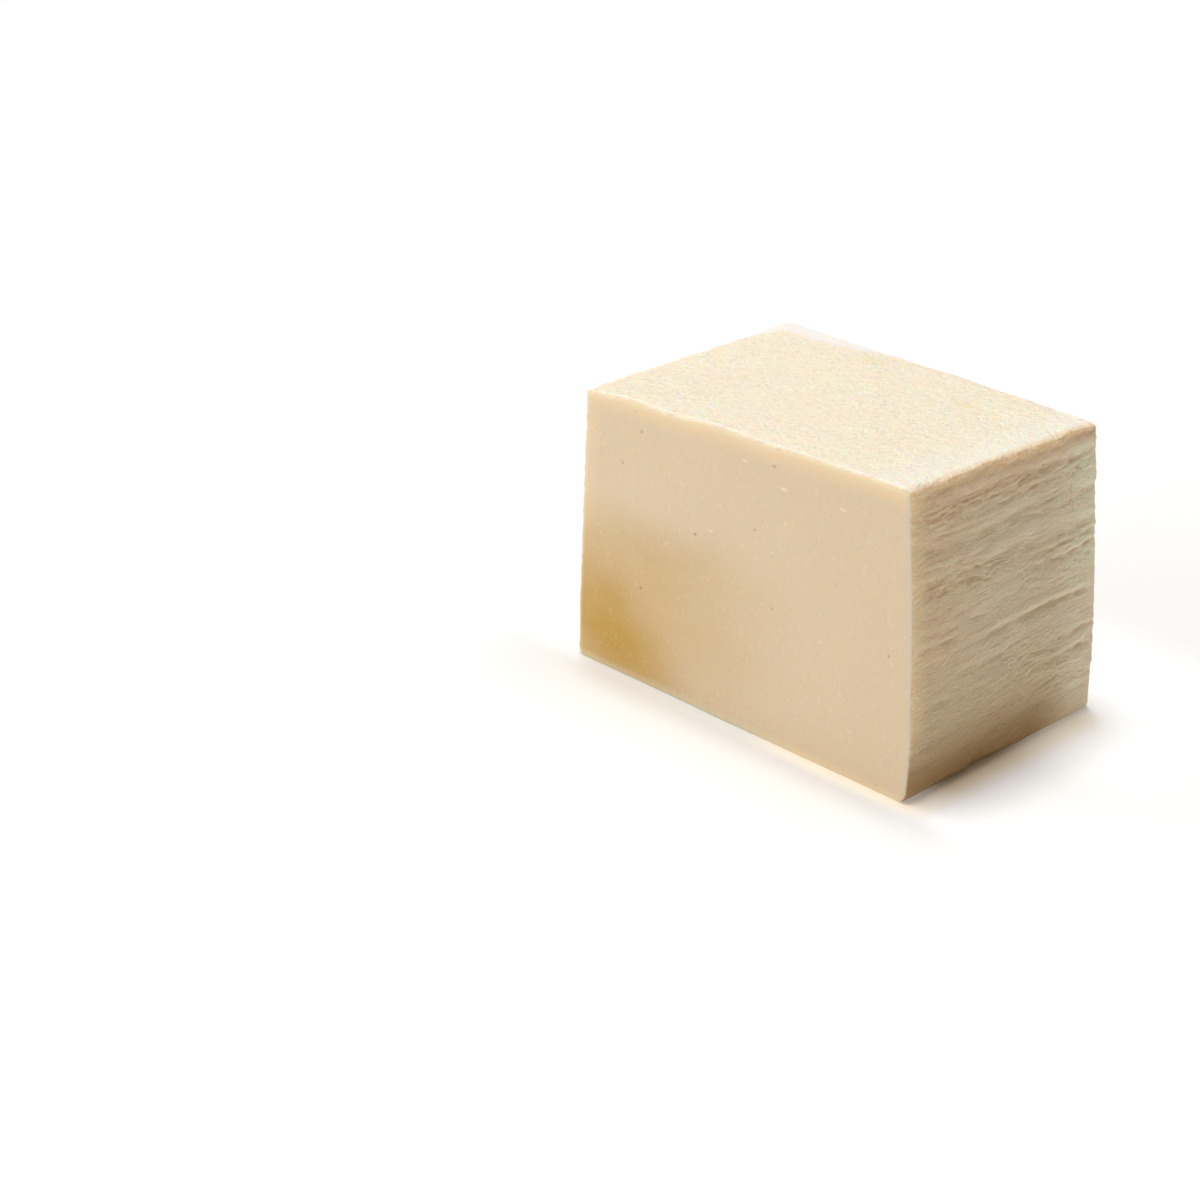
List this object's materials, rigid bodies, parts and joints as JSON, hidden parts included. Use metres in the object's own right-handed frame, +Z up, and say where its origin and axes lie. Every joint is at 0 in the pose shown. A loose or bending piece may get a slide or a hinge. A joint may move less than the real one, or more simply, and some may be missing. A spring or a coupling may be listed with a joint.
{
  "type": "tofu block",
  "caption": "Firm tofu block with smooth knife-cut long faces, ridged torn ends, a slightly uneven moist top and a flat underside.",
  "frame": {"origin": "middle of the box round the block, at the height of the surface it stands on", "axes": "+Z up, -Y out of the smooth front cut face, +X out of the ridged end, along the block's length"},
  "size_m": [0.093, 0.0592, 0.0613],
  "materials": {
    "tofu": "moist pale cream bean curd with a soft satin sheen, slightly translucent at its edges"
  },
  "bodies": {
    "root": {"tofu_block": "tofu"}
  },
  "joints": []
}
